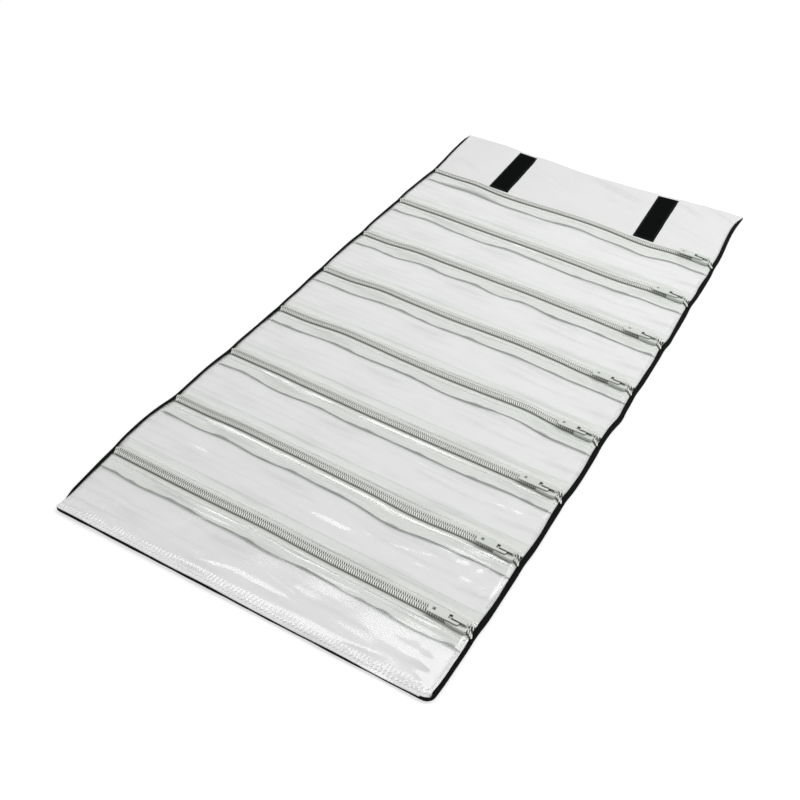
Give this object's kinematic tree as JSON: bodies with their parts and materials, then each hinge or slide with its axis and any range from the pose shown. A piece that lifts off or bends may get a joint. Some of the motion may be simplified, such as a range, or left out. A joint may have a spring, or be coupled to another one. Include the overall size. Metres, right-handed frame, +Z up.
{
  "type": "jewelry roll",
  "caption": "Flat lined case with rows of clear zipped pockets that rolls up lengthwise, pockets inside, and closes with hook strips on a plain flap.",
  "frame": {"origin": "middle of the underside of the opened case", "axes": "+X along the zippers to their closed ends, +Y from the near edge to the flap, +Z up"},
  "size_m": [0.28, 0.5756, 0.0081],
  "materials": {
    "cover": "black woven cover, matte",
    "lining": "pale grey smooth lining",
    "window": "clear flexible vinyl",
    "zipper": "pale grey woven tape with a plastic coil",
    "slider": "pale grey enamel",
    "hook": "black hook tape"
  },
  "bodies": {
    "flap": {"cover_flap": "cover", "lining_flap": "lining", "hook_strip_left": "hook", "hook_strip_right": "hook"},
    "panel_1": {"cover_1": "cover", "lining_1": "lining", "window_1": "window", "upper_stringer_1": "zipper", "lower_stringer_1": "zipper"},
    "slider_1": {"slider_1": "slider"},
    "pull_1": {"pull_tab_1": "slider"},
    "panel_2": {"cover_2": "cover", "lining_2": "lining", "window_2": "window", "upper_stringer_2": "zipper", "lower_stringer_2": "zipper"},
    "slider_2": {"slider_2": "slider"},
    "pull_2": {"pull_tab_2": "slider"},
    "panel_3": {"cover_3": "cover", "lining_3": "lining", "window_3": "window", "upper_stringer_3": "zipper", "lower_stringer_3": "zipper"},
    "slider_3": {"slider_3": "slider"},
    "pull_3": {"pull_tab_3": "slider"},
    "panel_4": {"cover_4": "cover", "lining_4": "lining", "window_4": "window", "upper_stringer_4": "zipper", "lower_stringer_4": "zipper"},
    "slider_4": {"slider_4": "slider"},
    "pull_4": {"pull_tab_4": "slider"},
    "panel_5": {"cover_5": "cover", "lining_5": "lining", "window_5": "window", "upper_stringer_5": "zipper", "lower_stringer_5": "zipper"},
    "slider_5": {"slider_5": "slider"},
    "pull_5": {"pull_tab_5": "slider"},
    "panel_6": {"cover_6": "cover", "lining_6": "lining", "window_6": "window", "upper_stringer_6": "zipper", "lower_stringer_6": "zipper"},
    "slider_6": {"slider_6": "slider"},
    "pull_6": {"pull_tab_6": "slider"},
    "panel_7": {"cover_7": "cover", "lining_7": "lining", "window_7": "window", "upper_stringer_7": "zipper", "lower_stringer_7": "zipper"},
    "slider_7": {"slider_7": "slider"},
    "pull_7": {"pull_tab_7": "slider"},
    "panel_8": {"cover_8": "cover", "lining_8": "lining", "window_8": "window", "upper_stringer_8": "zipper", "lower_stringer_8": "zipper"},
    "slider_8": {"slider_8": "slider"},
    "pull_8": {"pull_tab_8": "slider"}
  },
  "joints": [
    {"name": "fold_1", "type": "hinge", "parent": "flap", "child": "panel_1", "pos_m": [0, 0.21225, 0.0012], "axis": [-1, 0, 0], "range_deg": [0, 51.7]},
    {"name": "slider_1_run", "type": "slide", "parent": "panel_1", "child": "slider_1", "axis": [-1, 0, 0], "range_m": [0, 0.25]},
    {"name": "pull_1_swing", "type": "hinge", "parent": "slider_1", "child": "pull_1", "pos_m": [0.1264, 0.20575, 0.0067], "axis": [0, 1, 0], "range_deg": [0, 180]},
    {"name": "fold_2", "type": "hinge", "parent": "panel_1", "child": "panel_2", "pos_m": [0, 0.16025, 0.0012], "axis": [-1, 0, 0], "range_deg": [0, 58.91]},
    {"name": "slider_2_run", "type": "slide", "parent": "panel_2", "child": "slider_2", "axis": [-1, 0, 0], "range_m": [0, 0.25]},
    {"name": "pull_2_swing", "type": "hinge", "parent": "slider_2", "child": "pull_2", "pos_m": [0.1264, 0.14325, 0.0067], "axis": [0, 1, 0], "range_deg": [0, 180]},
    {"name": "fold_3", "type": "hinge", "parent": "panel_2", "child": "panel_3", "pos_m": [0, 0.09775, 0.0012], "axis": [-1, 0, 0], "range_deg": [0, 55.41]},
    {"name": "slider_3_run", "type": "slide", "parent": "panel_3", "child": "slider_3", "axis": [-1, 0, 0], "range_m": [0, 0.25]},
    {"name": "pull_3_swing", "type": "hinge", "parent": "slider_3", "child": "pull_3", "pos_m": [0.1264, 0.08075, 0.0067], "axis": [0, 1, 0], "range_deg": [0, 180]},
    {"name": "fold_4", "type": "hinge", "parent": "panel_3", "child": "panel_4", "pos_m": [0, 0.03525, 0.0012], "axis": [-1, 0, 0], "range_deg": [0, 62.91]},
    {"name": "slider_4_run", "type": "slide", "parent": "panel_4", "child": "slider_4", "axis": [-1, 0, 0], "range_m": [0, 0.25]},
    {"name": "pull_4_swing", "type": "hinge", "parent": "slider_4", "child": "pull_4", "pos_m": [0.1264, 0.01825, 0.0067], "axis": [0, 1, 0], "range_deg": [0, 180]},
    {"name": "fold_5", "type": "hinge", "parent": "panel_4", "child": "panel_5", "pos_m": [0, -0.02725, 0.0012], "axis": [-1, 0, 0], "range_deg": [0, 53.11]},
    {"name": "slider_5_run", "type": "slide", "parent": "panel_5", "child": "slider_5", "axis": [-1, 0, 0], "range_m": [0, 0.25]},
    {"name": "pull_5_swing", "type": "hinge", "parent": "slider_5", "child": "pull_5", "pos_m": [0.1264, -0.04425, 0.0067], "axis": [0, 1, 0], "range_deg": [0, 180]},
    {"name": "fold_6", "type": "hinge", "parent": "panel_5", "child": "panel_6", "pos_m": [0, -0.08975, 0.0012], "axis": [-1, 0, 0], "range_deg": [0, 78.01]},
    {"name": "slider_6_run", "type": "slide", "parent": "panel_6", "child": "slider_6", "axis": [-1, 0, 0], "range_m": [0, 0.25]},
    {"name": "pull_6_swing", "type": "hinge", "parent": "slider_6", "child": "pull_6", "pos_m": [0.1264, -0.10675, 0.0067], "axis": [0, 1, 0], "range_deg": [0, 180]},
    {"name": "fold_7", "type": "hinge", "parent": "panel_6", "child": "panel_7", "pos_m": [0, -0.15225, 0.0012], "axis": [-1, 0, 0], "range_deg": [0, 80.81]},
    {"name": "slider_7_run", "type": "slide", "parent": "panel_7", "child": "slider_7", "axis": [-1, 0, 0], "range_m": [0, 0.25]},
    {"name": "pull_7_swing", "type": "hinge", "parent": "slider_7", "child": "pull_7", "pos_m": [0.1264, -0.16925, 0.0067], "axis": [0, 1, 0], "range_deg": [0, 180]},
    {"name": "fold_8", "type": "hinge", "parent": "panel_7", "child": "panel_8", "pos_m": [0, -0.21475, 0.0012], "axis": [-1, 0, 0], "range_deg": [0, 108.01]},
    {"name": "slider_8_run", "type": "slide", "parent": "panel_8", "child": "slider_8", "axis": [-1, 0, 0], "range_m": [0, 0.25]},
    {"name": "pull_8_swing", "type": "hinge", "parent": "slider_8", "child": "pull_8", "pos_m": [0.1264, -0.23175, 0.0067], "axis": [0, 1, 0], "range_deg": [0, 180]}
  ],
  "couplings": [
    {"joint": "fold_2", "follows": "fold_1", "ratio": 1.1393},
    {"joint": "fold_3", "follows": "fold_1", "ratio": 1.0716},
    {"joint": "fold_4", "follows": "fold_1", "ratio": 1.2166},
    {"joint": "fold_5", "follows": "fold_1", "ratio": 1.0271},
    {"joint": "fold_6", "follows": "fold_1", "ratio": 1.5087},
    {"joint": "fold_7", "follows": "fold_1", "ratio": 1.5629},
    {"joint": "fold_8", "follows": "fold_1", "ratio": 2.089}
  ]
}
